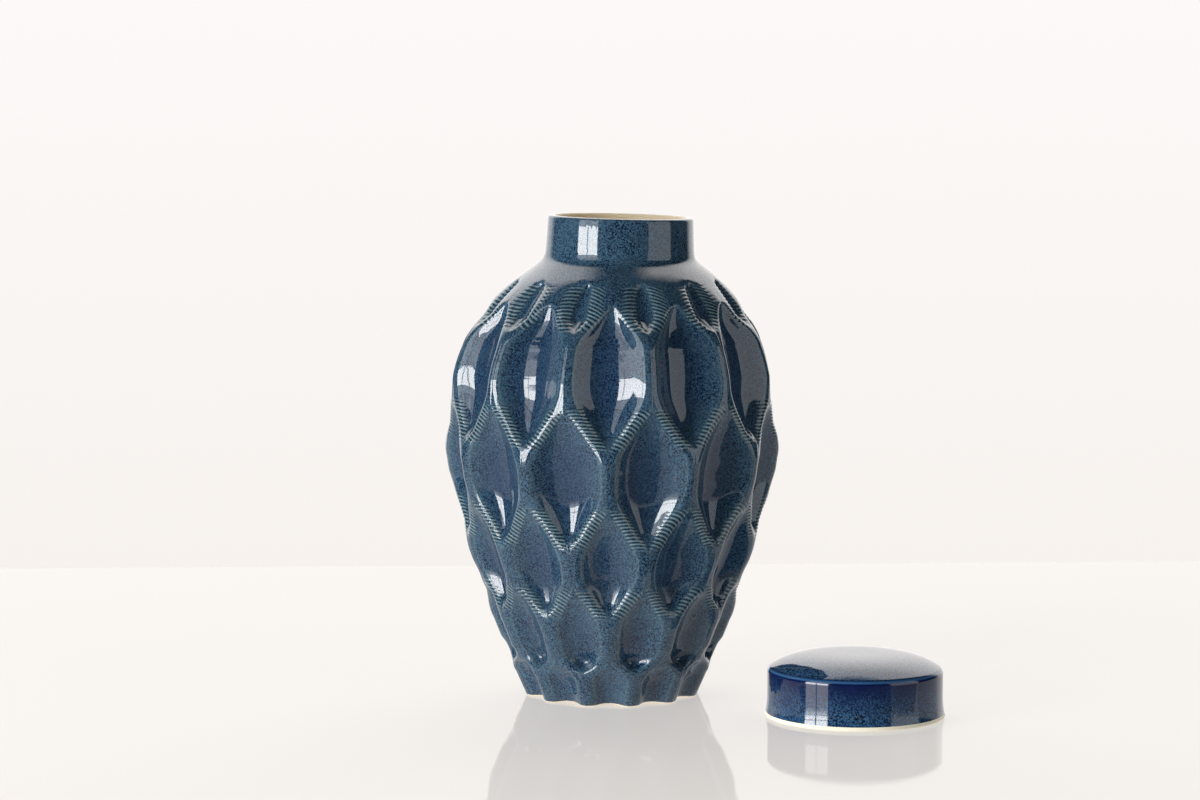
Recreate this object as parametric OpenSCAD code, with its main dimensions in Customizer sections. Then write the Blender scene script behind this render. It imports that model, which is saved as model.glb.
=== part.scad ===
// Funeral urn of glazed stoneware with a carved lattice body and a cap lid.
// The lid is off: it stands mouth down on the table, to the right and a little in front.
// Origin: centre of the urn's base. +Z is up, +X is to the right, -Y faces the viewer.

/* [Body] */
// Height of the body from the table to the foot of the neck
body_h = 241; // [180:1:320]
// Diameter over the ribs at the belly
belly_d = 182.6; // [140:0.2:240]
// Height of the belly's widest level
belly_z = 139; // [100:1:180]
// Diameter over the lobes of the foot
foot_d = 94; // [70:1:120]
// How full the shoulder is: a higher value keeps the width further up
shoulder_fullness = 3.15; // [2:0.05:4.5]
// How full the lower body is
foot_fullness = 1.44; // [1.1:0.02:2.2]
// Clay thickness under the hollows
wall_t = 6; // [4:0.5:9]
// Extra clay behind each rib
rib_back_t = 3; // [1:0.5:6]
// Clay thickness of the base
base_t = 8; // [5:0.5:14]

/* [Carving] */
// Carved hollows in one row around the body
cells_round = 12; // [8:1:16]
// Depth of the largest hollow below its ribs
hollow_depth = 13; // [4:0.5:16]
// Width of a rib's top, measured level
rib_w = 6.6; // [4:0.2:10]
// How far a rib stands proud where two ribs meet
node_rise = 1.6; // [0:0.1:3]
// Turn of the pattern about the axis, in degrees
pattern_turn = -1.5; // [-15:0.5:15]

/* [Neck] */
// Height of the neck above the body
neck_h = 24.5; // [16:0.5:40]
// Outside diameter of the neck
neck_d = 81.6; // [60:0.2:100]
// Clay thickness of the neck
neck_t = 5.8; // [3:0.1:9]
// How far the neck sits off the foot's axis, to the right
neck_shift = 4.2; // [0:0.1:8]
// Lean of the neck to the right, in degrees
neck_lean = 1.4; // [0:0.1:4]

/* [Lid] */
// Gap all round between the neck and the lid's skirt
lid_clearance = 1.6; // [0.8:0.1:4]
// Thickness of the lid's skirt
skirt_t = 4.8; // [3:0.1:8]
// How far the skirt flares at its lower edge
skirt_flare = 1.3; // [0:0.1:4]
// Rise of the dome above the lid's edge
dome_h = 8.4; // [4:0.5:30]
// Clay thickness of the dome
dome_t = 5; // [3:0.5:8]
// Gap under the ceiling when the lid rests on the shoulder
rim_gap = 0.5; // [0.2:0.1:3]
// Gap between the foot and the lid, measured along X
lid_stand_off = 36.4; // [10:0.1:200]
// How far the lid stands in front of the urn's axis
lid_forward = 68; // [0:1:160]

/* [Hidden] */
$fn = 96;

belly_r = belly_d / 2;
foot_r = foot_d / 2;
neck_r = neck_d / 2;
mouth_r = neck_r - neck_t;
rib_half = rib_w / 2;
half_pitch = 180 / cells_round;

// The neck's foot is a short cone, and the body ends in a flat seat under it.
neck_flare = 1;
neck_flare_h = 3.5;
neck_root = 3.5;
seat_r = neck_r + 1.8;
throat_r = mouth_r + 1.1;
lip = 1.6;

// Above lean_from the body drifts towards the neck's own axis.
lean_from = 150;

// The ribs stay gathered in pairs between these heights, as shares of the body's height.
// Odd entries gather over the even columns, so the hollows lie in staggered rows.
gather_from = [-0.020, 0.131, 0.322, 0.519, 0.747, 0.963];
gather_to = [0.058, 0.172, 0.326, 0.548, 0.813, 1.100];
gather_count = len(gather_from);
gather_table = [
    for (i = [0:gather_count - 1])
        for (s = [gather_from[i], gather_to[i]]) [s * body_h, i]
];
// Share of the half pitch that stays open between two gathered ribs: wider near the foot.
gather_gap = [[0, 0.09], [2, 0.09], [3, 0.02], [gather_count, 0.02]];
// Each meeting of two ribs is highest a little above the level where they gather.
node_lead = 0.08;
// The top row's hollows close in a round arch between these heights.
arch_from = 0.885 * body_h;
arch_top = 0.962 * body_h;
node_fade_h = 0.1 * body_h;

// Cross-section of a hollow: an open bowl on its right, a steep wall and a flatter floor on its left.
right_curve = 2.1;
left_curve = 3.4;
hollow_share = 0.85;
mid_share = 0.58;
// The top row's hollows are cut deeper for their width, from this height up.
deep_from = 0.82 * body_h;
deep_full = 0.88 * body_h;
deep_more = 0.35;
closed_w = 1.2;

// Outline over the ribs, without the rise at the meetings.
function shoulder_outline(t) = seat_r + (belly_r - seat_r) * (1 - pow(t, shoulder_fullness));
function lower_outline(t) = foot_r + (belly_r - foot_r) * (1 - pow(t, foot_fullness));
function outline(z) = z > belly_z
    ? shoulder_outline(min(1, (z - belly_z) / (body_h - belly_z)))
    : lower_outline((belly_z - z) / belly_z);

// Upward tilt of the outline's normal, in degrees.
slope_step = 1;
function normal_tilt(z) = atan((outline(z - slope_step) - outline(z + slope_step)) / (2 * slope_step));

// Place in the run of gatherings: whole numbers are gatherings.
function phase(z) = lookup(z, gather_table);
// Distance of the rib from the even column's line, as a share of the half pitch.
function rib_share(z) = 0.5 + (0.5 - lookup(phase(z), gather_gap)) * cos(180 * phase(z));

function meeting(z) = pow((1 + cos(360 * (phase(z) - node_lead))) / 2, 2);
function node_fade(z) = max(0, min(1, (arch_top - z) / node_fade_h));
function rib_r(z) = outline(z) + node_rise * meeting(z) * node_fade(z);

// Length of half a pitch, and half the open width of a hollow over each kind of column.
function half_pitch_l(z) = outline(z) * half_pitch * PI / 180;
function closing(z) = sqrt(max(0, 1 - pow(max(0, z - arch_from) / (arch_top - arch_from), 2)));
function open_even(z) = rib_share(z) * half_pitch_l(z) - rib_half;
function open_odd(z) =
    ((1 - rib_share(min(z, arch_from))) * half_pitch_l(min(z, arch_from)) - rib_half) * closing(z);
function open_half(z, even) = even ? open_even(z) : open_odd(z);
largest_half = belly_r * half_pitch * PI / 180 - rib_half;
function deepening(z) = 1 + deep_more * max(0, min(1, (z - deep_from) / (deep_full - deep_from)));
function hollow(z, even) =
    hollow_depth * pow(max(0, open_half(z, even)) / largest_half, hollow_share) * deepening(z);

// Angle from the hollow's middle to its edge.
function edge_angle(z, even) = max(open_half(z, even), closed_w) / half_pitch_l(z) * half_pitch;

// The body's axis drifts sideways towards the neck.
function drift(z) = neck_shift * pow(max(0, z - lean_from) / (body_h - lean_from), 3);
function at(r, a, z) = [r * sin(a) + drift(z), -r * cos(a), z];

// Outer points of one half pitch: middle, flank and edge of one hollow, then edge and flank of the next.
function outer_half(z, even, start) =
    let (r = rib_r(z))
    let (near = edge_angle(z, even))
    let (far = edge_angle(z, !even))
    let (near_d = hollow(z, even))
    let (far_d = hollow(z, !even))
    let (right = 1 - pow(mid_share, right_curve))
    let (left = 1 - pow(mid_share, left_curve))
    [
        at(r - near_d, start, z),
        at(r - near_d * right, start + mid_share * near, z),
        at(r, start + near, z),
        at(r, start + half_pitch - far, z),
        at(r - far_d * left, start + half_pitch - mid_share * far, z)
    ];
function outer_ring(z) = [
    for (i = [0:2 * cells_round - 1])
        for (p = outer_half(z, i % 2 == 0, pattern_turn + i * half_pitch)) p
];

// Inner points: one behind each hollow and one behind each rib, set back along the outline's normal.
function inner_at(z, back, a) =
    let (tilt = normal_tilt(z))
    let (r = rib_r(z) - back - wall_t * cos(tilt))
    at(r, a, z - wall_t * sin(tilt));
function inner_half(z, even, start) = [
    inner_at(z, hollow(z, even), start),
    inner_at(z, rib_back_t, start + (even ? rib_share(z) : 1 - rib_share(z)) * half_pitch)
];
function inner_ring(z) = [
    for (i = [0:2 * cells_round - 1])
        for (p = inner_half(z, i % 2 == 0, pattern_turn + i * half_pitch)) p
];
function round_ring(r, z, count) = [
    for (i = [0:count - 1]) at(r, pattern_turn + i * 360 / count, z)
];

// Closed shell with a flat base and a flat seat for the neck.
outer_levels = 33;
inner_levels = 16;
outer_n = 10 * cells_round;
inner_n = 4 * cells_round;
inner_low = base_t + 3;
inner_high = body_h - wall_t;
outer_z = [for (i = [0:outer_levels - 1]) body_h * i / outer_levels];
inner_z = [for (i = [0:inner_levels - 1]) inner_high + (inner_low - inner_high) * i / (inner_levels - 1)];

body_points = concat(
    [for (z = outer_z) for (p = outer_ring(z)) p],
    round_ring(seat_r, body_h, outer_n),
    round_ring(throat_r, body_h, inner_n),
    [for (z = inner_z) for (p = inner_ring(z)) p],
    [[0, 0, 0]],
    [[0, 0, base_t]]
);
inner_start = (outer_levels + 1) * outer_n;
base_point = inner_start + (inner_levels + 1) * inner_n;
floor_point = base_point + 1;
last_inner = inner_start + inner_levels * inner_n;

// Two triangles for each square between two rings of n points.
function band(first, second, n) = [
    for (i = [0:n - 1])
        let (j = (i + 1) % n)
        for (f = [[first + i, second + j, first + j], [first + i, second + i, second + j]]) f
];
function fan(first, centre, n, way) = [
    for (i = [0:n - 1])
        let (j = (i + 1) % n)
        way > 0 ? [first + i, first + j, centre] : [first + j, first + i, centre]
];
// The seat joins five outer points to two inner ones in each half pitch.
seat_pattern = [[0, 0, 1], [0, 1, 2], [0, 2, -1], [1, 2, 3], [1, 3, -1], [2, 3, 4], [2, 4, 5]];
function seat_faces() = [
    for (h = [0:2 * cells_round - 1])
        for (s = seat_pattern)
            let (out = outer_levels * outer_n)
            let (i0 = inner_start + (2 * h + s[0]) % inner_n)
            let (i1 = inner_start + (2 * h + s[0] + 1) % inner_n)
            let (o1 = out + (5 * h + s[1]) % outer_n)
            s[2] < 0 ? [i0, o1, i1] : [i0, o1, out + (5 * h + s[2]) % outer_n]
];
body_faces = concat(
    fan(0, base_point, outer_n, 1),
    [for (k = [0:outer_levels - 1]) for (f = band(k * outer_n, (k + 1) * outer_n, outer_n)) f],
    seat_faces(),
    [for (k = [0:inner_levels - 1])
        for (f = band(inner_start + k * inner_n, inner_start + (k + 1) * inner_n, inner_n)) f],
    fan(last_inner, floor_point, inner_n, -1)
);

module body_shell() {
    polyhedron(points = body_points, faces = body_faces, convexity = 12);
}

// The neck is thrown separately: it leans a little and stands slightly off centre.
neck_outline = [
    [mouth_r, -neck_root],
    [neck_r + neck_flare, -neck_root],
    [neck_r + neck_flare, 0],
    [neck_r, neck_flare_h],
    [neck_r, neck_h - lip],
    [neck_r - lip / 3, neck_h - lip / 3],
    [neck_r - lip, neck_h],
    [mouth_r + lip, neck_h],
    [mouth_r + lip / 3, neck_h - lip / 3],
    [mouth_r, neck_h - lip]
];
module neck() {
    translate([neck_shift, 0, body_h])
        rotate([0, neck_lean, 0])
            rotate_extrude() polygon(neck_outline);
}

module urn() {
    color("steelblue") {
        body_shell();
        neck();
    }
}

// The lid's skirt slips over the neck, and its ceiling clears the rim.
skirt_r = neck_r + lid_clearance;
lid_r = skirt_r + skirt_t;
skirt_depth = neck_h + rim_gap;
edge_drop = 0.6;
edge_z = skirt_depth + edge_drop;
edge_round = 1.2;
flare_h = 11;
ceiling_bevel = 2;
dome_steps = 12;
flare_steps = 4;
// The top is nearly flat in the middle and meets the side in a crisp edge.
dome_curve = 4;

function dome_z(r) = edge_z + dome_h * (1 - pow(r / lid_r, dome_curve));
function flare_r(t) = lid_r + skirt_flare * pow(1 - t, 2);
dome_edge_r = lid_r - edge_round;
ceiling_r = skirt_r - ceiling_bevel;
lid_outline = concat(
    [[skirt_r, 0]],
    [for (i = [0:flare_steps]) [flare_r(i / flare_steps), flare_h * i / flare_steps]],
    [[lid_r, edge_z - edge_round], [lid_r - edge_round / 3, edge_z - edge_round / 3]],
    [for (i = [0:dome_steps]) let (r = dome_edge_r * sqrt(1 - i / dome_steps)) [r, dome_z(r)]],
    [for (i = [dome_steps:-1:0])
        let (r = ceiling_r * sqrt(1 - i / dome_steps))
        [r, max(skirt_depth, dome_z(r) - dome_t)]],
    [[skirt_r, skirt_depth - ceiling_bevel]]
);
lid_x = foot_r + lid_r + lid_stand_off;

module lid() {
    color("darkblue")
        translate([lid_x, -lid_forward, 0])
            rotate_extrude() polygon(lid_outline);
}

urn();
lid();
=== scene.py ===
"""A carved stoneware funeral urn and its slip-over cap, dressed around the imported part.

The urn is thrown as a plain blank, spun round its axis, and then carved: every point of the
outer wall is set back below the ribs by the same rules of shape as the solid part, with the
tool's hatching cut across the ribs. Lengths are in millimetres until a mesh is written, which
is in metres. The lights, the table and the camera are in metres.
"""

import logging
import math
from dataclasses import dataclass
from enum import Enum, IntEnum

import bpy
import numpy as np
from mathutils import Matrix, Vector


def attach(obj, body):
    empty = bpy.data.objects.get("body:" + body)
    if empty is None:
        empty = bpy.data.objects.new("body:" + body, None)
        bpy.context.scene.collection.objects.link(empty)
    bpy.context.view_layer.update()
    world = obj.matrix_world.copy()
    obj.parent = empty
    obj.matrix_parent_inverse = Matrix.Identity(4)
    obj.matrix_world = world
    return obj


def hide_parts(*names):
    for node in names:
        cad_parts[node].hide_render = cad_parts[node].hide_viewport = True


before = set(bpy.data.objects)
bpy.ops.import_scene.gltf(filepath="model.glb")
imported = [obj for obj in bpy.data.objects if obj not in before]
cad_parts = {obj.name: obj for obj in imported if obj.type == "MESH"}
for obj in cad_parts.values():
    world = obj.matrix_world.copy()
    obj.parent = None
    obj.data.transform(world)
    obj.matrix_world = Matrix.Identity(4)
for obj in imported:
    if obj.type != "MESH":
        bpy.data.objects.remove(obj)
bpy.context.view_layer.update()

MM = 0.001
# Distances within which points are welded, in metres: at the seam of a spin, and anywhere.
SEAM_WELD, POINT_WELD = 1e-6, 1e-7
# Distance that stands for a point far out on a rib, away from every hollow's edge.
FAR_OUT = -9.0
# Numbers of the Mix node's sockets, because their names repeat for each type of data.
MIX_FACTOR, COLOUR_A, COLOUR_B, COLOUR_OUT = 0, 6, 7, 2
NUMBER_A, NUMBER_B, NUMBER_OUT = 2, 3, 0
log = logging.getLogger("urn")

Point = tuple[float, float]
Socket = bpy.types.NodeSocket
Tree = bpy.types.NodeTree


class Slot(Enum):
    """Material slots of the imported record."""

    URN = "urn_glaze"
    LID = "lid_glaze"


class Part(IntEnum):
    """Parts of the urn's skin, in the order of its profile."""

    POLE = 0
    BASE = 1
    WALL = 2
    NECK = 3
    INSIDE = 4
    FLOOR = 5


class Node(Enum):
    """Kinds of shader node that the finishes are made of."""

    ATTRIBUTE = "ShaderNodeAttribute"
    BACKGROUND = "ShaderNodeBackground"
    LIGHT_PATH = "ShaderNodeLightPath"
    MAP_RANGE = "ShaderNodeMapRange"
    MATHS = "ShaderNodeMath"
    MIX = "ShaderNodeMix"
    NOISE = "ShaderNodeTexNoise"
    OUTPUT = "ShaderNodeOutputMaterial"
    PLACE = "ShaderNodeTexCoord"
    PRINCIPLED = "ShaderNodeBsdfPrincipled"
    SPLIT = "ShaderNodeSeparateXYZ"
    WORLD_OUTPUT = "ShaderNodeOutputWorld"


def linear(hex_colour: str) -> tuple[float, float, float, float]:
    """Turns an sRGB hex colour into linear RGBA.

    Args:
        hex_colour: Six hex digits, such as "14284a".

    Returns:
        The colour in linear light, with alpha 1.
    """
    parts = [int(hex_colour[i : i + 2], 16) / 255 for i in (0, 2, 4)]
    rgb = [c / 12.92 if c <= 0.04045 else ((c + 0.055) / 1.055) ** 2.4 for c in parts]
    return rgb[0], rgb[1], rgb[2], 1.0


def smooth(x: np.ndarray) -> np.ndarray:
    """Eases 0 to 1 with flat ends, and holds outside."""
    t = np.clip(x, 0, 1)
    return t * t * (3 - 2 * t)


def band(z: np.ndarray, low: float, high: float, fade: float) -> np.ndarray:
    """A band from low to high that is 1 inside and fades to 0 over a short distance outside.

    Args:
        z: Heights.
        low: Lower edge of the band.
        high: Upper edge of the band.
        fade: Length of each fade.

    Returns:
        The band's weight at each height.
    """
    return smooth((z - low) / fade + 1) * smooth((high - z) / fade + 1)


@dataclass(frozen=True)
class Outline:
    """Outline of the body over its ribs, up to the neck."""

    body_h: float = 241.0
    belly_r: float = 91.3
    belly_z: float = 139.0
    foot_r: float = 47.0
    seat_r: float = 42.6
    shoulder_fullness: float = 3.15
    foot_fullness: float = 1.44
    neck_h: float = 24.5
    neck_low_r: float = 41.3
    neck_top_r: float = 40.2
    root_softness: float = 2.6
    shift: float = 4.2
    lean: float = 1.4
    lean_from: float = 150.0
    lean_blend: float = 6.0

    def body(self, z: np.ndarray) -> np.ndarray:
        """Radius over the ribs, which runs on inwards above the body.

        Args:
            z: Heights.

        Returns:
            The radius at each height.
        """
        up = np.maximum(0, z - self.belly_z) / (self.body_h - self.belly_z)
        down = np.clip((self.belly_z - z) / self.belly_z, 0, 1)
        high = self.seat_r + (self.belly_r - self.seat_r) * (1 - up**self.shoulder_fullness)
        low = self.foot_r + (self.belly_r - self.foot_r) * (1 - down**self.foot_fullness)
        return np.where(z > self.belly_z, high, low)

    def radius(self, z: np.ndarray) -> np.ndarray:
        """Radius of body and neck, joined by a soft hollow curve at the neck's root.

        Args:
            z: Heights.

        Returns:
            The radius at each height.
        """
        share = np.clip((z - self.body_h) / self.neck_h, 0, 1)
        neck = self.neck_low_r + (self.neck_top_r - self.neck_low_r) * share
        body = self.body(z)
        return (body + neck + np.sqrt((body - neck) ** 2 + self.root_softness**2)) / 2

    def radius_at(self, z: float) -> float:
        """Radius of body and neck at one height."""
        return float(self.radius(np.array([z]))[0])

    def drift(self, z: np.ndarray) -> np.ndarray:
        """Sideways place of the axis at a height."""
        t = np.clip((z - self.lean_from) / (self.body_h - self.lean_from), 0, 1)
        return self.shift * t**3

    def place(self, r: np.ndarray, angle: np.ndarray, z: np.ndarray) -> np.ndarray:
        """Points at a radius, an angle from the front and a height, with drift and lean.

        Args:
            r: Radii.
            angle: Angles from the front, in degrees, growing to the right.
            z: Heights.

        Returns:
            An array of points, three columns.
        """
        a = np.radians(angle)
        side = r * np.sin(a)
        above = z - self.body_h
        ease = self.lean_blend
        tilt = math.radians(self.lean) * smooth((above + ease) / (2 * ease))
        x = self.drift(z) + side * np.cos(tilt) + above * np.sin(tilt)
        high = self.body_h + above * np.cos(tilt) - side * np.sin(tilt)
        return np.stack([x, -r * np.cos(a), np.where(above > -ease, high, z)], axis=1)


@dataclass(frozen=True)
class Lattice:
    """Carved lattice: paths of the ribs, section of the hollows and hatching."""

    outline: Outline = Outline()
    cells_round: int = 12
    turn: float = -1.5
    rib_half: float = 3.3
    # Section of the hollows, which is rounder on its right side and steeper on its left.
    depth: float = 13.0
    right_curve: float = 2.1
    left_curve: float = 3.4
    share_power: float = 0.85
    closed_w: float = 1.2
    edge_round: float = 2.3
    edge_share: float = 0.35
    edge_least: float = 0.4
    # The top row is cut deeper for its width, from one share of the body's height to another.
    deep_from: float = 0.82
    deep_full: float = 0.88
    deep_more: float = 0.35
    # Small rise of the ribs where two of them meet.
    node_rise: float = 1.7
    node_lead: float = 0.08
    node_fade: float = 0.1
    # Stretches, as shares of the body's height, in which the ribs run together in pairs.
    gathers: tuple[tuple[float, float], ...] = (
        (-0.020, 0.058),
        (0.131, 0.172),
        (0.322, 0.326),
        (0.519, 0.548),
        (0.747, 0.813),
        (0.963, 1.100),
    )
    low_gap: float = 0.09
    high_gap: float = 0.02
    arch_from: float = 0.885
    arch_top: float = 0.962
    # Strokes of the tool across the ribs, by bands of height and their weight.
    hatch_pitch: float = 1.85
    hatch_depth: float = 0.5
    hatch_width: float = 0.2
    hatch_slant: float = 0.2
    hatch_droop: float = 0.03
    droop_most: float = 40.0
    hatch_spill: float = 0.9
    spill_fade: float = 1.2
    hatch_fade: float = 1.5
    arch_hatch: float = 0.8
    arch_clear: float = 3.0
    # Hollows must be this wide on both sides of a rib for its hatching to begin and be full.
    apart_from: float = 0.3
    apart_run: float = 2.5
    hatch_zones: tuple[tuple[float, float, float], ...] = (
        (10, 20, 0.35),
        (46, 74, 0.85),
        (84, 118, 1.0),
        (138, 172, 1.0),
        (193, 229, 1.0),
    )
    # Faint ripples of the tool in the deep part of the large upper hollows.
    ripple_pitch: float = 2.7
    ripple: float = 0.035
    ripple_zone: tuple[float, float] = (183, 203)
    ripple_fade: float = 4.0
    ripple_depth: float = 8.0
    # The floor of a hollow is deepest below its middle, less so in the small top row.
    sag: float = 3.6
    tip_w: float = 6.5
    small_from: float = 190.0
    small_run: float = 10.0
    small_sag: float = 0.7
    small_tip: float = 0.6

    @property
    def half_pitch(self) -> float:
        """Angle of half a cell, in degrees."""
        return 180 / self.cells_round

    def phase(self, z: np.ndarray) -> np.ndarray:
        """Place in the run of gatherings: whole numbers are gatherings, which last a stretch."""
        levels = np.array(self.gathers).ravel() * self.outline.body_h
        return np.interp(z, levels, np.repeat(np.arange(len(self.gathers)), 2))

    def rib_share(self, z: np.ndarray) -> np.ndarray:
        """Distance of a rib from the even column, as a share of half a pitch.

        Args:
            z: Heights.

        Returns:
            The share at each height, from nearly 0 to nearly 1.
        """
        p = self.phase(z)
        rows = (0, 2, 3, len(self.gathers))
        gap = np.interp(p, rows, (self.low_gap, self.low_gap, self.high_gap, self.high_gap))
        return 0.5 + (0.5 - gap) * np.cos(np.pi * p)

    def open_even(self, z: np.ndarray) -> np.ndarray:
        """Half width of a hollow over an even column; below zero where its ribs have met."""
        return self.rib_share(z) * self.half_length(z) - self.rib_half

    def open_odd(self, z: np.ndarray) -> np.ndarray:
        """Half width of a hollow over an odd column, which closes in a round arch at the top.

        Args:
            z: Heights.

        Returns:
            The half width at each height; below zero where its ribs have met.
        """
        low, top = self.arch_from * self.outline.body_h, self.arch_top * self.outline.body_h
        under = np.minimum(z, low)
        closing = np.sqrt(np.maximum(0, 1 - (np.maximum(0, z - low) / (top - low)) ** 2))
        return ((1 - self.rib_share(under)) * self.half_length(under) - self.rib_half) * closing

    def crest(self, z: np.ndarray) -> np.ndarray:
        """Radius over a rib, with its rise where two ribs meet.

        Args:
            z: Heights.

        Returns:
            The radius at each height.
        """
        meeting = ((1 + np.cos(2 * np.pi * (self.phase(z) - self.node_lead))) / 2) ** 2
        top, length = self.arch_top * self.outline.body_h, self.node_fade * self.outline.body_h
        return self.outline.radius(z) + self.node_rise * meeting * smooth((top - z) / length)

    def half_length(self, z: np.ndarray) -> np.ndarray:
        """Length of half a pitch at the outline, in millimetres."""
        return self.outline.body(z) * math.radians(self.half_pitch)

    def hollow(self, open_half: np.ndarray) -> np.ndarray:
        """Depth at the middle of a hollow with this open half width."""
        largest = self.outline.belly_r * math.radians(self.half_pitch) - self.rib_half
        return self.depth * (np.maximum(0, open_half) / largest) ** self.share_power

    def deepening(self, z: np.ndarray) -> np.ndarray:
        """How much deeper the top row's hollows are cut for their width."""
        full, start = self.deep_full * self.outline.body_h, self.deep_from * self.outline.body_h
        return 1 + self.deep_more * np.clip((z - start) / (full - start), 0, 1)

    def section(self, inside: np.ndarray, open_half: np.ndarray, curve: float) -> np.ndarray:
        """Cross-section of a hollow: 1 at its middle and close to 0 on the ribs.

        Args:
            inside: Distance from the hollow's edge towards its middle, negative on the rib.
            open_half: Half width of the hollow at this height.
            curve: How steep the wall is and how flat the floor.

        Returns:
            Shares of the hollow's depth.
        """
        half = np.maximum(open_half, self.closed_w)
        soft = np.minimum(self.edge_round, self.edge_share * half + self.edge_least)
        rounded = (inside + np.sqrt(inside**2 + soft**2)) / 2
        full = (half + np.sqrt(half**2 + soft**2)) / 2
        return 1 - (1 - np.clip(rounded / full, 0, 1)) ** curve

    def strokes(self, z: np.ndarray, across: np.ndarray, side: np.ndarray) -> np.ndarray:
        """Counts the tool's strokes, which slant with the rib and droop away from its middle.

        Args:
            z: Heights, one a row.
            across: Distance from the rib's middle line, for each row and column.
            side: Which way that distance grows, 1 or -1.

        Returns:
            A count that passes one whole number for each stroke.
        """
        step = 0.5
        lean = np.sign(self.rib_share(z + step) - self.rib_share(z - step))[:, None]
        rows = np.broadcast_to(z[:, None], across.shape)
        droop = self.hatch_droop * np.minimum(across**2, self.droop_most)
        return (rows + self.hatch_slant * (lean + side) * across + droop) / self.hatch_pitch


def add_node(
    tree: Tree, kind: Node, links: dict[int | str, object] | None = None, **settings: object
) -> bpy.types.Node:
    """Adds a shader node with its settings, values and links.

    Args:
        tree: The node tree.
        kind: The kind of node.
        links: Input name or number to an output socket or a constant.
        **settings: Properties of the node.

    Returns:
        The new node.
    """
    node = tree.nodes.new(kind.value)
    for name, value in settings.items():
        setattr(node, name, value)
    for name, value in (links or {}).items():
        if isinstance(value, Socket):
            tree.links.new(value, node.inputs[name])
        else:
            node.inputs[name].default_value = value
    return node


def only(piece: bpy.types.Object) -> None:
    """Makes a piece the one selected and active object.

    Args:
        piece: The piece.
    """
    if bpy.context.mode != "OBJECT":
        bpy.ops.object.mode_set(mode="OBJECT")
    bpy.ops.object.select_all(action="DESELECT")
    piece.select_set(True)
    bpy.context.view_layer.objects.active = piece


def throw_blank(name: str, profile: list[Point], steps: int) -> bpy.types.Object:
    """Throws a blank: a profile is extruded point by point and spun round the upright axis.

    Args:
        name: Name of the new object.
        profile: Radius and height of each point, in millimetres, from the axis to the axis.
        steps: Steps round the axis.

    Returns:
        The spun object, with each vertex's place in the profile in the attribute "ring".
    """
    bpy.ops.object.select_all(action="DESELECT")
    bpy.ops.mesh.primitive_plane_add(size=0.01)
    piece = bpy.context.active_object
    piece.name = name
    mesh = piece.data
    mesh.name = name
    bpy.ops.object.mode_set(mode="EDIT")
    bpy.ops.mesh.select_all(action="SELECT")
    bpy.ops.mesh.merge(type="CENTER")
    for (r0, z0), (r1, z1) in zip([(0.0, 0.0), *profile], profile):
        if r0 == z0 == r1 == z1 == 0:
            continue
        step = ((r1 - r0) * MM, 0, (z1 - z0) * MM)
        bpy.ops.mesh.extrude_region_move(TRANSFORM_OT_translate={"value": step})
    bpy.ops.object.mode_set(mode="OBJECT")
    ring = mesh.attributes.new("ring", "INT", "POINT")
    ring.data.foreach_set("value", np.arange(len(mesh.vertices), dtype=np.int32))
    wheel = piece.modifiers.new("Wheel", "SCREW")
    wheel.axis = "Z"
    wheel.angle = 2 * math.pi
    wheel.steps = wheel.render_steps = steps
    wheel.use_merge_vertices = True
    wheel.merge_threshold = SEAM_WELD
    bpy.ops.object.modifier_apply(modifier=wheel.name)
    bpy.ops.object.mode_set(mode="EDIT")
    bpy.ops.mesh.select_all(action="SELECT")
    bpy.ops.mesh.remove_doubles(threshold=POINT_WELD)
    bpy.ops.mesh.normals_make_consistent(inside=False)
    bpy.ops.object.mode_set(mode="OBJECT")
    return piece


def ring_and_step(piece: bpy.types.Object, steps: int) -> tuple[np.ndarray, np.ndarray]:
    """Reads each vertex's place in the profile and its step round the axis.

    Args:
        piece: A spun blank.
        steps: Steps round the axis.

    Returns:
        Profile numbers, and step numbers from 0 to steps - 1 from the front to the right.
    """
    mesh = piece.data
    count = len(mesh.vertices)
    ring = np.empty(count, dtype=np.int32)
    mesh.attributes["ring"].data.foreach_get("value", ring)
    co = np.empty(count * 3)
    mesh.vertices.foreach_get("co", co)
    co = co.reshape(-1, 3)
    turn = np.degrees(np.arctan2(co[:, 0], -co[:, 1])) / 360 * steps
    return ring, np.round(turn).astype(int) % steps


def set_value(piece: bpy.types.Object, name: str, values: np.ndarray) -> None:
    """Writes a value for each vertex into a named attribute."""
    attribute = piece.data.attributes.new(name, "FLOAT", "POINT")
    attribute.data.foreach_set("value", values.astype(np.float32))


def thin_out(piece: bpy.types.Object, most: int) -> None:
    """Brings a finely spun piece down to a number of triangles and keeps its shading.

    Args:
        piece: The piece, shaded smooth.
        most: The most triangles it may keep.
    """
    piece.data.calc_loop_triangles()
    count = len(piece.data.loop_triangles)
    if count <= most:
        return
    only(piece)
    bpy.ops.object.duplicate()
    fine = bpy.context.active_object
    only(piece)
    thin = piece.modifiers.new("Thin", "DECIMATE")
    thin.ratio = most / count
    bpy.ops.object.modifier_apply(modifier=thin.name)
    copy = piece.modifiers.new("Shading", "DATA_TRANSFER")
    copy.object = fine
    copy.use_loop_data = True
    copy.data_types_loops = {"CUSTOM_NORMAL"}
    copy.loop_mapping = "POLYINTERP_NEAREST"
    bpy.ops.object.modifier_apply(modifier=copy.name)
    bpy.data.objects.remove(fine, do_unlink=True)


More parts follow.
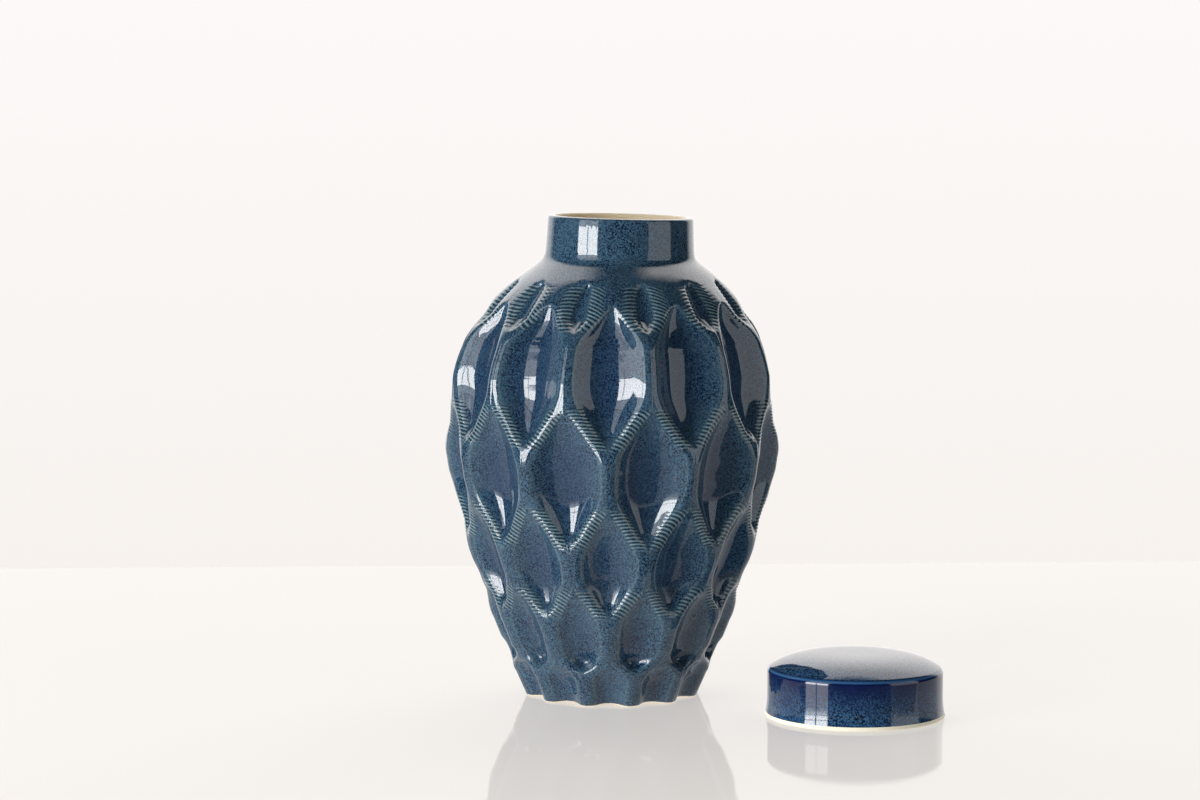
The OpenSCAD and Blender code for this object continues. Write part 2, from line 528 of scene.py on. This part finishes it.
@dataclass
class UrnBody:
    """The urn: foot, carved wall, shoulder, neck, mouth and inside, in one closed skin."""

    lattice: Lattice = Lattice()
    # Columns across half a hollow and across a rib, and the spacing of the wall's rows.
    gap_steps: int = 6
    rib_steps: int = 4
    gap_crowding: float = 0.8
    fine_row: float = 0.45
    plain_row: float = 1.3
    wall_past_body: float = 4.0
    neck_from: float = 1.2
    neck_rows: int = 14
    lip_rows: int = 13
    mouth_rows: int = 8
    inner_rows: int = 46
    # Thickness of the clay.
    wall_t: float = 6.0
    base_t: float = 8.0
    rib_back_t: float = 3.0
    # Mouth, throat and rolled lip.
    mouth_r: float = 35.0
    mouth_bottom: float = 2.0
    throat_r: float = 36.1
    throat_bottom: float = 3.5
    lip_h: float = 1.7
    lip_start: float = 12.0
    lip_squareness: float = 0.7
    # Foot, which is bevelled and rises a little under the hollows, and the floor inside.
    foot_bevel: float = 0.9
    foot_rise: float = 0.9
    foot_rise_h: float = 9.0
    base_rings: tuple[float, ...] = (0.3, 0.6, 0.85, 0.95)
    floor_r: float = 30.0
    floor_rings: tuple[float, ...] = (1.0, 0.6, 0.25)
    floor_corner: float = 3.0
    triangles: int = 186_000

    @property
    def steps(self) -> int:
        """Steps round the axis."""
        return 2 * self.lattice.cells_round * (2 * self.gap_steps + self.rib_steps)

    def outer_heights(self) -> np.ndarray:
        """Heights of the outer wall's rows: close together where the ribs are hatched.

        Returns:
            The heights, from the foot up to just past the body.
        """
        zones = [zone[:2] for zone in self.lattice.hatch_zones] + [self.lattice.ripple_zone]
        heights = [self.foot_bevel]
        while heights[-1] < self.lattice.outline.body_h + self.wall_past_body:
            z = heights[-1]
            fine = any(low - 1 < z < high + 1 for low, high in zones)
            heights.append(z + (self.fine_row if fine else self.plain_row))
        return np.array(heights)

    def columns(self, z: np.ndarray) -> dict[str, np.ndarray]:
        """Columns of the wall at each height, which follow the ribs.

        Args:
            z: Heights, one a row.

        Returns:
            Arrays with a row for each height and a column for each step: the angle in degrees,
            the distance inside the near hollow and inside the far one, the open half widths of
            both, the distance across the rib from its middle line, and which way that grows.
        """
        lat = self.lattice
        length = lat.half_length(z)[:, None]
        even, odd = lat.open_even(z)[:, None], lat.open_odd(z)[:, None]
        gap = np.linspace(0, 1, self.gap_steps + 1)[:-1] ** self.gap_crowding
        rib = np.linspace(-1, 1, self.rib_steps + 1)
        parts: dict[str, list[np.ndarray]] = {}
        for i in range(2 * lat.cells_round):
            is_even = i % 2 == 0
            near, far = (even, odd) if is_even else (odd, even)
            edge = np.maximum(near, lat.closed_w)
            other = np.maximum(far, lat.closed_w)
            middle = (edge + length - other) / 2
            half = (length - other - edge) / 2
            across_gaps = (edge * gap, middle + half * rib, length - other * gap[:0:-1])
            x = np.concatenate(across_gaps, axis=1)
            line = length - odd - lat.rib_half if is_even else odd + lat.rib_half
            side = 1 if is_even else -1
            row = {
                "angle": lat.turn + (i + x / length) * lat.half_pitch,
                "near": near - x,
                "far": far - (length - x),
                "near_open": np.broadcast_to(near, x.shape),
                "far_open": np.broadcast_to(far, x.shape),
                "across": (x - line) * side,
                "side": np.full(x.shape, side),
            }
            for name, value in row.items():
                parts.setdefault(name, []).append(value)
        return {name: np.concatenate(value, axis=1) for name, value in parts.items()}

    def hatching(self, z: np.ndarray, col: dict[str, np.ndarray]) -> np.ndarray:
        """Where the ribs are hatched.

        Args:
            z: Heights, one a row.
            col: The wall's columns at these heights.

        Returns:
            The hatching's weight for each row and column, from 0 to 1.
        """
        lat = self.lattice
        body_h = lat.outline.body_h
        zones, fade = lat.hatch_zones, lat.hatch_fade
        bands = sum(share * band(z, low, high, fade) for low, high, share in zones)
        low, top, clear = lat.arch_from * body_h, lat.arch_top * body_h, lat.arch_clear
        arch = band(z, low, top - clear, clear)[:, None]
        narrower = np.minimum(col["near_open"], col["far_open"])
        apart = smooth((narrower - lat.apart_from) / lat.apart_run)
        reach = lat.rib_half + lat.hatch_spill - np.abs(col["across"])
        on_rib = smooth(reach / lat.spill_fade + 0.5)
        return bands[:, None] * np.maximum(apart, lat.arch_hatch * arch) * on_rib

    def carve(self, z: np.ndarray) -> dict[str, np.ndarray]:
        """Carves rows of the outer wall.

        Args:
            z: Heights, one a row.

        Returns:
            Arrays with a row for each height and a column for each step: the radius, the angle,
            the depth cut away, the strokes, the hatching's weight and the distance inside a
            hollow's edge.
        """
        lat = self.lattice
        col = self.columns(z)
        upper = smooth((z - lat.small_from) / lat.small_run)
        above = self.columns(z + lat.sag * (1 - lat.small_sag * upper))
        tip = (lat.tip_w * (1 - lat.small_tip * upper))[:, None]
        cut = np.zeros(col["angle"].shape)
        for side, curve in (("near", lat.right_curve), ("far", lat.left_curve)):
            own = col[side + "_open"]
            deep = lat.hollow(above[side + "_open"]) * smooth(own / tip)
            cut += deep * lat.deepening(z)[:, None] * lat.section(col[side], own, curve)
        wave = np.sin(2 * np.pi * z / lat.ripple_pitch)
        ripple = lat.ripple * band(z, *lat.ripple_zone, lat.ripple_fade) * wave
        cut += ripple[:, None] * smooth(cut / lat.ripple_depth)
        strokes = lat.strokes(z, col["across"], col["side"])
        hatched = self.hatching(z, col)
        groove = np.exp(-((((strokes % 1) - 0.5) / lat.hatch_width) ** 2))
        near, far = (
            np.where(col[side + "_open"] > 0, col[side], FAR_OUT) for side in ("near", "far")
        )
        return {
            "radius": lat.crest(z)[:, None] - cut - lat.hatch_depth * groove * hatched,
            "angle": col["angle"],
            "cut": cut,
            "strokes": strokes,
            "hatched": hatched,
            "edge": np.maximum(near, far),
        }

    def profile(self) -> tuple[list[tuple[float, float, Part]], np.ndarray]:
        """Lists the profile from the middle of the base, up outside, over the lip and down.

        Returns:
            Radius, height and part of the skin for each point, and the outer wall's heights.
        """
        out = self.lattice.outline
        heights = self.outer_heights()
        foot = out.radius_at(0.0)
        points = [(0.0, 0.0, Part.POLE)]
        points += [(foot * t, 0.0, Part.BASE) for t in self.base_rings]
        points += [(out.radius_at(z), float(z), Part.WALL) for z in (0.0, *heights)]
        top_neck = out.body_h + out.neck_h - self.lip_h
        neck = np.linspace(heights[-1] + self.neck_from, top_neck, self.neck_rows)
        points += [(out.radius_at(z), float(z), Part.NECK) for z in neck]
        centre = (out.neck_top_r + self.mouth_r) / 2
        half = (out.neck_top_r - self.mouth_r) / 2
        for a in np.linspace(self.lip_start, 180 - self.lip_start, self.lip_rows):
            c, s = math.cos(math.radians(a)), math.sin(math.radians(a))
            r = centre + half * math.copysign(abs(c) ** self.lip_squareness, c)
            points.append((r, top_neck + self.lip_h * s**self.lip_squareness, Part.NECK))
        mouth = np.linspace(top_neck, out.body_h - self.mouth_bottom, self.mouth_rows)
        points += [(self.mouth_r, float(z), Part.NECK) for z in mouth]
        points += [(self.throat_r, out.body_h - self.throat_bottom, Part.NECK)]
        lowest = self.base_t + self.floor_corner
        inner = np.linspace(out.body_h - self.wall_t, lowest, self.inner_rows)
        points += [(out.radius_at(z) - self.wall_t, float(z), Part.INSIDE) for z in inner]
        points += [(self.floor_r * t, self.base_t, Part.FLOOR) for t in self.floor_rings]
        points += [(0.0, self.base_t, Part.POLE)]
        return points, heights

    def build(self) -> bpy.types.Object:
        """Throws the blank, carves it and thins the mesh out.

        Returns:
            The finished piece.
        """
        lat, out = self.lattice, self.lattice.outline
        profile, heights = self.profile()
        piece = throw_blank("urn_skin", [(r, z) for r, z, _ in profile], self.steps)
        ring, step = ring_and_step(piece, self.steps)
        part = np.array([kind for _, _, kind in profile])
        flat_radius = np.array([r for r, _, _ in profile])
        flat_height = np.array([z for _, z, _ in profile])
        shape = (len(profile), self.steps)
        even_turn = lat.turn + np.arange(self.steps) * 360 / self.steps
        angle = np.broadcast_to(even_turn, shape).copy()
        radius = np.broadcast_to(flat_radius[:, None], shape).copy()
        height = np.broadcast_to(flat_height[:, None], shape).copy()

        # The outer wall, and the foot, which rises a little under each hollow.
        walls = np.flatnonzero(part == Part.WALL)
        cut = self.carve(np.concatenate([[0.0], heights]))
        radius[walls] = cut["radius"]
        angle[walls] = cut["angle"]
        dent = cut["cut"][0]
        rise = self.foot_rise * dent / max(dent.max(), 1e-6)
        height[walls[1:]] += rise[None, :] * (1 - smooth(heights / self.foot_rise_h))[:, None]
        height[walls[0]] += rise
        radius[walls[0]] -= self.foot_bevel
        rim = self.base_rings[-2]
        for b in np.flatnonzero(part == Part.BASE):
            share = flat_radius[b] / flat_radius[walls[0]]
            radius[b] = radius[walls[0]] * share
            angle[b] = angle[walls[0]]
            height[b] = rise * smooth(np.array((share - rim) / (1 - rim)))

        # The inner wall, which follows the hollows behind the ribs.
        inside = np.flatnonzero(part == Part.INSIDE)
        z_in = flat_height[inside]
        soft = self.carve(z_in)
        tilt = np.arctan(-(out.body(z_in + 1) - out.body(z_in - 1)) / 2)
        echo = self.rib_back_t + np.maximum(0, soft["cut"] - self.rib_back_t)
        radius[inside] = lat.crest(z_in)[:, None] - echo - (self.wall_t * np.cos(tilt))[:, None]
        height[inside] -= (self.wall_t * np.sin(tilt))[:, None]
        angle[inside] = soft["angle"]

        points = out.place(radius[ring, step], angle[ring, step], height[ring, step])
        points[part[ring] == Part.POLE, :2] = 0
        piece.data.vertices.foreach_set("co", (points * MM).astype(np.float32).ravel())
        piece.data.update()
        for name in ("cut", "strokes", "hatched", "edge"):
            table = np.full(shape, FAR_OUT if name == "edge" else 0.0)
            table[walls] = cut[name]
            set_value(piece, name, table[ring, step])
        bare = np.isin(part, (Part.BASE, Part.INSIDE, Part.FLOOR, Part.POLE))
        lip_top = np.argmax(flat_height * (part == Part.NECK))
        bare[lip_top + 2 :] = True
        bare[walls[0]] = True
        set_value(piece, "bare", bare[ring])
        only(piece)
        bpy.ops.object.mode_set(mode="EDIT")
        bpy.ops.mesh.select_all(action="SELECT")
        bpy.ops.mesh.normals_make_consistent(inside=False)
        bpy.ops.object.mode_set(mode="OBJECT")
        bpy.ops.object.shade_smooth()
        thin_out(piece, self.triangles)
        piece.data.attributes.remove(piece.data.attributes["ring"])
        return piece


@dataclass
class Cap:
    """The lid: a slip-over cap with a flared skirt and a low dome, standing on its open edge."""

    skirt_r: float = 42.4
    skirt_t: float = 4.8
    flare: float = 1.3
    flare_h: float = 11.0
    edge_z: float = 25.6
    edge_round: float = 1.2
    edge_in: float = 0.35
    edge_up: float = 0.75
    foot_round: float = 0.5
    skirt_from: float = 0.6
    dome_h: float = 8.4
    dome_curve: float = 4.0
    dome_t: float = 5.0
    ceiling_z: float = 25.0
    ceiling_round: float = 2.0
    dome_rows: int = 40
    skirt_rows: int = 24
    bore_rows: int = 10
    ceiling_rows: int = 20
    row_crowding: float = 0.6
    x: float = 130.6
    y: float = -68.0
    steps: int = 256

    def dome_z(self, r: float) -> float:
        """Height of the dome at a radius."""
        outer = self.skirt_r + self.skirt_t
        return self.edge_z + self.dome_h * (1 - (r / outer) ** self.dome_curve)

    def profile(self) -> list[Point]:
        """Lists the profile from the top of the dome, down outside, and up inside.

        Returns:
            Radius and height of each point.
        """
        r = self.skirt_r + self.skirt_t
        out_in = np.linspace(0, 1, self.dome_rows) ** self.row_crowding
        dome = [((r - self.edge_round) * t, self.dome_z((r - self.edge_round) * t)) for t in out_in]
        z1 = self.edge_z - self.edge_round
        side = [(r - self.edge_in, z1 + self.edge_up), (r, z1)]
        for z in np.linspace(z1 - 1, self.skirt_from, self.skirt_rows):
            side.append((r + self.flare * max(0, 1 - z / self.flare_h) ** 2, z))
        soft = self.foot_round
        foot = [(r + self.flare - soft, 0.0), (self.skirt_r + soft, 0.0), (self.skirt_r, soft)]
        clear = self.ceiling_round
        levels = np.linspace(clear, self.ceiling_z - clear, self.bore_rows)
        bore = [(self.skirt_r, z) for z in levels]
        inner = self.skirt_r - clear
        in_out = np.linspace(1, 0, self.ceiling_rows) ** self.row_crowding
        under = [
            (inner * t, max(self.ceiling_z, self.dome_z(inner * t) - self.dome_t)) for t in in_out
        ]
        return [(float(a), float(b)) for a, b in dome + side + foot + bore + under]

    def build(self) -> bpy.types.Object:
        """Spins the cap and puts its place in its mesh.

        Returns:
            The finished piece.
        """
        piece = throw_blank("lid_skin", self.profile(), self.steps)
        only(piece)
        bpy.ops.object.mode_set(mode="EDIT")
        bpy.ops.mesh.select_all(action="SELECT")
        bpy.ops.transform.translate(value=(self.x * MM, self.y * MM, 0))
        bpy.ops.object.mode_set(mode="OBJECT")
        bpy.ops.object.shade_smooth_by_angle(angle=math.radians(40))
        ring, _ = ring_and_step(piece, self.steps)
        # The open edge's outermost point: the clay is bare from there on.
        lowest = int(np.argmin([z - 1e-3 * r for r, z in self.profile()]))
        set_value(piece, "bare", ring >= lowest - 1)
        piece.data.attributes.remove(piece.data.attributes["ring"])
        return piece


def lay_over(
    tree: Tree,
    under: object,
    over: object,
    value: Socket,
    start: float,
    end: float,
    most: float = 1.0,
    mask: Socket | None = None,
) -> Socket:
    """Lays one colour over another where a value runs from start to end.

    Args:
        tree: The material's nodes.
        under: Colour where the value is at start.
        over: Colour where the value is at end.
        value: The value to go by.
        start: Where the second colour begins.
        end: Where it is at its strongest.
        most: Share of the second colour there.
        mask: A second value that the share is multiplied by.

    Returns:
        The colour.
    """
    run = {"Value": value, "From Min": start, "From Max": end, "To Max": most}
    share = add_node(tree, Node.MAP_RANGE, run).outputs[0]
    if mask is not None:
        share = add_node(tree, Node.MATHS, {0: share, 1: mask}, operation="MULTIPLY").outputs[0]
    mixed = {MIX_FACTOR: share, COLOUR_A: under, COLOUR_B: over}
    return add_node(tree, Node.MIX, mixed, data_type="RGBA").outputs[COLOUR_OUT]


def empty_material(name: str) -> bpy.types.Material:
    """Makes a material with no nodes in it yet.

    Args:
        name: Name of the material.

    Returns:
        The material, with its nodes in use.
    """
    material = bpy.data.materials.new(name)
    material.use_nodes = True
    material.node_tree.nodes.clear()
    return material


@dataclass(frozen=True)
class Speckle:
    """Crystal flecks of a reactive glaze: dark pools between lighter grains, under a haze."""

    pool: str
    grain: str
    haze: str
    fleck_mm: float = 0.8
    cloud_mm: float = 14.0
    # Stretches of the noise in which the grains and the haze grow, and the haze's most.
    grain_run: Point = (0.43, 0.57)
    haze_run: Point = (0.40, 0.75)
    haze_most: float = 0.45
    detail: float = 3.0
    grit: float = 0.7

    def colour(self, tree: Tree) -> Socket:
        """Builds the speckle from noise on the piece's own coordinates.

        Args:
            tree: The material's nodes.

        Returns:
            The colour.
        """
        place = add_node(tree, Node.PLACE).outputs["Object"]
        noise = {"Vector": place, "Detail": self.detail}
        fine = {**noise, "Scale": 1 / (self.fleck_mm * MM), "Roughness": self.grit}
        fleck = add_node(tree, Node.NOISE, fine).outputs["Fac"]
        broad = {**noise, "Scale": 1 / (self.cloud_mm * MM)}
        cloud = add_node(tree, Node.NOISE, broad).outputs["Fac"]
        flecked = lay_over(tree, linear(self.pool), linear(self.grain), fleck, *self.grain_run)
        return lay_over(tree, flecked, linear(self.haze), cloud, *self.haze_run, self.haze_most)


@dataclass(frozen=True)
class FiredGlaze:
    """Gloss of a fired glaze, and the bare clay where it was wiped off."""

    name: str
    speckle: Speckle
    clay: str
    roughness: float = 0.06
    clay_roughness: float = 0.75
    ior: float = 1.55
    clay_border: Point = (0.45, 0.55)

    def colour(self, tree: Tree) -> Socket:
        """Builds the glaze's colour."""
        return self.speckle.colour(tree)

    def make(self) -> bpy.types.Material:
        """Builds the material: the glaze's colour, the bare clay and the gloss of both.

        Returns:
            The material.
        """
        material = empty_material(self.name)
        tree = material.node_tree
        glaze = self.colour(tree)
        mark = add_node(tree, Node.ATTRIBUTE, attribute_name="bare").outputs["Fac"]
        start, end = self.clay_border
        border = {"Value": mark, "From Min": start, "From Max": end}
        bare = add_node(tree, Node.MAP_RANGE, border).outputs[0]
        layers = {MIX_FACTOR: bare, COLOUR_A: glaze, COLOUR_B: linear(self.clay)}
        both = add_node(tree, Node.MIX, layers, data_type="RGBA").outputs[COLOUR_OUT]
        gloss = {"Value": bare, "To Min": self.roughness, "To Max": self.clay_roughness}
        rough = add_node(tree, Node.MAP_RANGE, gloss).outputs[0]
        finish = {"Base Color": both, "Roughness": rough, "IOR": self.ior}
        shader = add_node(tree, Node.PRINCIPLED, finish)
        add_node(tree, Node.OUTPUT, {"Surface": shader.outputs[0]})
        return material


@dataclass(frozen=True)
class CarvedGlaze(FiredGlaze):
    """Reactive glaze on the carved body, dipped and fired to a glassy coat."""

    # Glossy as glass, with dark flecks in steel blue. The molten glaze runs off the cut edges,
    # so it breaks pale over the strokes and ribs and pools darker in the hollows. The darkening
    # by the depth cut away is partly that pooled glaze and partly painted shade in the hollows.
    name: str = "reactive_glaze_on_carved_stoneware"
    speckle: Speckle = Speckle("041027", "3d5b71", "3f5869", 0.85)
    clay: str = "f6e6c6"
    # Cobalt of the pooled glaze, laid on by depth; it also paints shade deep in the hollows.
    deep: str = "0a1d3f"
    broken: str = "8aa6a4"

    def colour(self, tree: Tree) -> Socket:
        """Builds the speckle, with its pools and painted shade in the hollows, broken edges and
        hatching.

        Args:
            tree: The material's nodes.

        Returns:
            The colour.
        """
        cut, edge, strokes, hatched = (
            add_node(tree, Node.ATTRIBUTE, attribute_name=name).outputs["Fac"]
            for name in ("cut", "edge", "strokes", "hatched")
        )
        rim = add_node(tree, Node.MATHS, {0: edge}, operation="ABSOLUTE").outputs[0]
        turns = {0: strokes, 1: 2 * math.pi}
        angle = add_node(tree, Node.MATHS, turns, operation="MULTIPLY").outputs[0]
        wave = add_node(tree, Node.MATHS, {0: angle}, operation="COSINE").outputs[0]
        colour = self.speckle.colour(tree)
        # Colour, the value it goes by, where it starts and is full, its most, and its mask.
        # The depth cut away and the distance from a hollow's edge are in millimetres.
        for tint, value, start, end, most, mask in (
            # Darker by the depth cut away: partly pooled glaze, partly painted shade in the
            # hollows.
            (self.deep, cut, 3.0, 12.0, 0.5, None),
            (self.broken, rim, 1.0, 0.0, 0.10, None),
            (self.speckle.pool, wave, -0.1, -0.9, 0.7, hatched),
            (self.broken, wave, 0.1, 1.0, 0.5, hatched),
        ):
            colour = lay_over(tree, colour, linear(tint), value, start, end, most, mask)
        return colour


@dataclass(frozen=True)
class PooledGlaze(FiredGlaze):
    """The same glaze on the plain thrown cap, which was fired dome up."""

    # Glossy as glass. The glaze ran down from the dome's edge and pooled there in deep cobalt,
    # thinned to steel-blue speckle towards the skirt, and broke in a thin pale line at the edge.
    name: str = "reactive_glaze_on_thrown_stoneware"
    speckle: Speckle = Speckle("020814", "34597c", "1d3a5e", 1.0, 10.0)
    clay: str = "ece5cf"
    cobalt: str = "04133c"
    line: str = "386490"
    top_mm: float = 25.6
    run_mm: float = 11.9
    drip_mm: float = 7.0
    drip_detail: float = 4.0
    sway_mm: float = 10.0

    def colour(self, tree: Tree) -> Socket:
        """Builds the cobalt run, the speckled dome and the pale line between them.

        Args:
            tree: The material's nodes.

        Returns:
            The colour.
        """
        place = add_node(tree, Node.PLACE).outputs["Object"]
        height = add_node(tree, Node.SPLIT, {0: place}).outputs["Z"]
        scale = 1 / (self.drip_mm * MM)
        drips = {"Vector": place, "Scale": scale, "Detail": self.drip_detail}
        drip = add_node(tree, Node.NOISE, drips).outputs["Fac"]
        swing = {0: drip, 1: self.sway_mm * MM}
        sway = add_node(tree, Node.MATHS, swing, operation="MULTIPLY").outputs[0]
        level = add_node(tree, Node.MATHS, {0: height, 1: sway}, operation="ADD").outputs[0]
        off = {0: height, 1: -(self.top_mm - 0.1) * MM}
        past = add_node(tree, Node.MATHS, off, operation="ADD").outputs[0]
        from_line = add_node(tree, Node.MATHS, {0: past}, operation="ABSOLUTE").outputs[0]
        flecks = self.speckle.colour(tree)
        colour = flecks
        # Colour, the value it goes by, where it starts and is full in millimetres, its most.
        for tint, value, start, end, most in (
            (linear(self.cobalt), level, self.run_mm, self.top_mm + 3, 1.0),
            (flecks, height, self.top_mm + 0.4, self.top_mm + 1.6, 1.0),
            (linear(self.line), from_line, 0.9, 0.1, 0.8),
        ):
            colour = lay_over(tree, colour, tint, value, start * MM, end * MM, most)
        return colour


@dataclass(frozen=True)
class Sheet:
    """One flat four-cornered sheet of the table, with an even light of its own."""

    name: str
    corners: tuple[Point, Point, Point, Point]
    z: float
    glow: float
    grey: str = "000000"
    turn: float = 0.0
    left_at_back: float = 1.0
    white: str = "fdf9f6"
    roughness: float = 0.05
    ior: float = 1.09
    fade: Point = (-0.3, 0.5)

    def lay(self) -> bpy.types.Object:
        """Lays the sheet.

        Returns:
            The sheet.
        """
        bpy.ops.object.select_all(action="DESELECT")
        bpy.ops.mesh.primitive_plane_add(size=1)
        sheet = bpy.context.active_object
        sheet.name = self.name
        c, s = math.cos(math.radians(self.turn)), math.sin(math.radians(self.turn))
        for vertex, corner in zip(sheet.data.vertices, (0, 1, 3, 2)):
            x, y = self.corners[corner]
            vertex.co = (x * c - y * s, x * s + y * c, self.z)
        material = empty_material(self.name)
        tree = material.node_tree
        place = add_node(tree, Node.PLACE).outputs["Object"]
        run = {
            "Value": add_node(tree, Node.SPLIT, {0: place}).outputs["Y"],
            "From Min": self.fade[0],
            "From Max": self.fade[1],
            "To Min": self.glow,
            "To Max": self.glow * self.left_at_back,
        }
        finish = {
            "Base Color": linear(self.grey),
            "Roughness": self.roughness,
            "IOR": self.ior,
            "Emission Color": linear(self.white),
            "Emission Strength": add_node(tree, Node.MAP_RANGE, run).outputs[0],
        }
        shader = add_node(tree, Node.PRINCIPLED, finish)
        add_node(tree, Node.OUTPUT, {"Surface": shader.outputs[0]})
        sheet.data.materials.append(material)
        return sheet


@dataclass
class Studio:
    """Pale table, plain backdrop, soft window light and camera."""

    white: str = "fdf9f6"
    # The table top that is seen, and two dimmer sheets that only the glaze mirrors.
    table: Sheet = Sheet(
        "table_top",
        ((-3.0, -1.6), (3.0, -1.6), (3.0, 0.49), (-3.0, 0.49)),
        z=-0.0001,
        glow=0.53,
        grey="8a8782",
        turn=2.3,
        left_at_back=0.86,
    )
    mirrored: tuple[Sheet, ...] = (
        Sheet(
            "table_in_the_gloss",
            ((-0.7, -0.8), (0.7, -0.8), (0.7, 0.85), (-0.7, 0.85)),
            z=-0.0005,
            glow=0.6,
        ),
        Sheet(
            "shade_before_the_cap",
            ((-0.02, -0.5), (0.4, -0.5), (0.4, -0.118), (-0.02, -0.118)),
            z=-0.0003,
            glow=0.1,
        ),
    )
    # Plain backdrop that is seen, from just above the level of the eye to below it.
    backdrop_high: str = "fdf9f8"
    backdrop_low: str = "f7f2ee"
    backdrop_run: Point = (0.02, -0.145)
    # Bright room behind the object, by the sideways and upward parts of a direction.
    behind_from: Point = (0.58, 0.74)
    ceiling: Point = (0.97, 0.90)
    glow_heights: Point = (0.1, 0.6)
    glow_levels: Point = (1.5, 2.6)
    dim: float = 0.02
    # Window of two by four panes: azimuths, then elevation and radiance of each row.
    pane_sides: Point = (-60.2, -43.2)
    pane_rows: tuple[Point, ...] = ((-7.6, 15.0), (6.6, 15.0), (20.8, 3.0), (35.0, 2.0))
    pane_size: Point = (0.60, 0.52)
    grey_side: Point = (64, 8)
    grey_size: Point = (1.6, 1.9)
    grey_radiance: float = 1.3
    light_distance: float = 2.2
    aim_z: float = 0.13
    lens: float = 103.11
    sensor: float = 36.0
    camera_at: tuple[float, float, float] = (-0.00667, -1.895, 0.348)
    camera_dip: float = 5.557

    def floor(self) -> None:
        """Lays the glossy white table top, and under it the dimmer sheets in the gloss."""
        seen = self.table.lay()
        seen.visible_glossy = False
        seen.visible_shadow = False
        for sheet in self.mirrored:
            hidden = sheet.lay()
            hidden.visible_camera = False
            hidden.visible_diffuse = False
            hidden.visible_shadow = False

    def world(self) -> None:
        """Lights the room: bright behind the object, dim in front, and plain to the eye."""
        world = bpy.data.worlds.new("studio")
        bpy.context.scene.world = world
        world.use_nodes = True
        tree = world.node_tree
        tree.nodes.clear()
        place = add_node(tree, Node.PLACE).outputs["Generated"]
        split = add_node(tree, Node.SPLIT, {0: place})
        up, back = split.outputs["Z"], split.outputs["Y"]
        # Length of the level part of a direction, and the share of it that points to the back.
        run = up
        for operation, by in (("MULTIPLY", up), ("MULTIPLY", -1.0), ("ADD", 1.0), ("POWER", 0.5)):
            run = add_node(tree, Node.MATHS, {0: run, 1: by}, operation=operation).outputs[0]
        share = add_node(tree, Node.MATHS, {0: back, 1: run}, operation="DIVIDE").outputs[0]
        behind, high, glow = (
            add_node(
                tree,
                Node.MAP_RANGE,
                {"Value": value, "From Min": a, "From Max": b, "To Min": c, "To Max": d},
            ).outputs[0]
            for value, (a, b), (c, d) in (
                (share, self.behind_from, (0.0, 1.0)),
                (up, self.ceiling, (0.0, 1.0)),
                (up, self.glow_heights, self.glow_levels),
            )
        )
        level = behind
        for operation, by in (("MULTIPLY", high), ("MULTIPLY", glow), ("MAXIMUM", self.dim)):
            level = add_node(tree, Node.MATHS, {0: level, 1: by}, operation=operation).outputs[0]
        seen = add_node(tree, Node.LIGHT_PATH).outputs["Is Camera Ray"]
        either = {MIX_FACTOR: seen, NUMBER_A: level, NUMBER_B: 1.0}
        strength = add_node(tree, Node.MIX, either, data_type="FLOAT").outputs[NUMBER_OUT]
        colours = linear(self.backdrop_high), linear(self.backdrop_low)
        paper = lay_over(tree, *colours, up, *self.backdrop_run)
        either = {MIX_FACTOR: seen, COLOUR_A: linear(self.white), COLOUR_B: paper}
        tone = add_node(tree, Node.MIX, either, data_type="RGBA").outputs[COLOUR_OUT]
        air = add_node(tree, Node.BACKGROUND, {"Color": tone, "Strength": strength})
        add_node(tree, Node.WORLD_OUTPUT, {"Surface": air.outputs[0]})

    def panel(self, name: str, side: Point, size: Point, radiance: float) -> None:
        """Hangs a flat light panel that faces the urn.

        Args:
            name: Name of the light.
            side: Azimuth from the front, growing to the right, and elevation, in degrees.
            size: Width and height in metres.
            radiance: Brightness of its face.
        """
        a, e = (math.radians(angle) for angle in side)
        aim = Vector((0, 0, self.aim_z))
        way = Vector((math.sin(a) * math.cos(e), -math.cos(a) * math.cos(e), math.sin(e)))
        light = bpy.data.lights.new(name, "AREA")
        light.shape = "RECTANGLE"
        light.size, light.size_y = size
        light.energy = radiance * math.pi * size[0] * size[1]
        lamp = bpy.data.objects.new(name, light)
        bpy.context.collection.objects.link(lamp)
        lamp.location = way * self.light_distance + aim
        lamp.rotation_euler = way.to_track_quat("Z", "Y").to_euler()
        lamp.visible_camera = False

    def lights(self) -> None:
        """Sets the window at the left front and the dim panel at the right."""
        for i, azimuth in enumerate(self.pane_sides):
            for j, (elevation, radiance) in enumerate(self.pane_rows):
                self.panel(f"window_{i}_{j}", (azimuth, elevation), self.pane_size, radiance)
        self.panel("grey_panel", self.grey_side, self.grey_size, self.grey_radiance)

    def camera(self) -> None:
        """Sets the camera at the viewing angle."""
        data = bpy.data.cameras.new("camera")
        data.sensor_width = self.sensor
        data.lens = self.lens
        cam = bpy.data.objects.new("camera", data)
        bpy.context.collection.objects.link(cam)
        cam.location = self.camera_at
        cam.rotation_euler = (math.radians(90 - self.camera_dip), 0, 0)
        bpy.context.scene.camera = cam


def main() -> None:
    """Builds the urn, the cap and the studio."""
    logging.basicConfig(level=logging.INFO)
    made = (
        ("urn", Slot.URN, UrnBody(), CarvedGlaze()),
        ("lid", Slot.LID, Cap(), PooledGlaze()),
    )
    for node, slot, maker, glaze in made:
        piece = maker.build()
        piece.data.materials.clear()
        piece.data.materials.append(glaze.make())
        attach(piece, "root")
        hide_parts(node)
        piece.data.calc_loop_triangles()
        log.info("%s: %d triangles", piece.name, len(piece.data.loop_triangles))
    studio = Studio()
    studio.floor()
    studio.world()
    studio.lights()
    studio.camera()
    bpy.context.scene.view_settings.view_transform = "Standard"


if __name__ == "__main__":
    main()
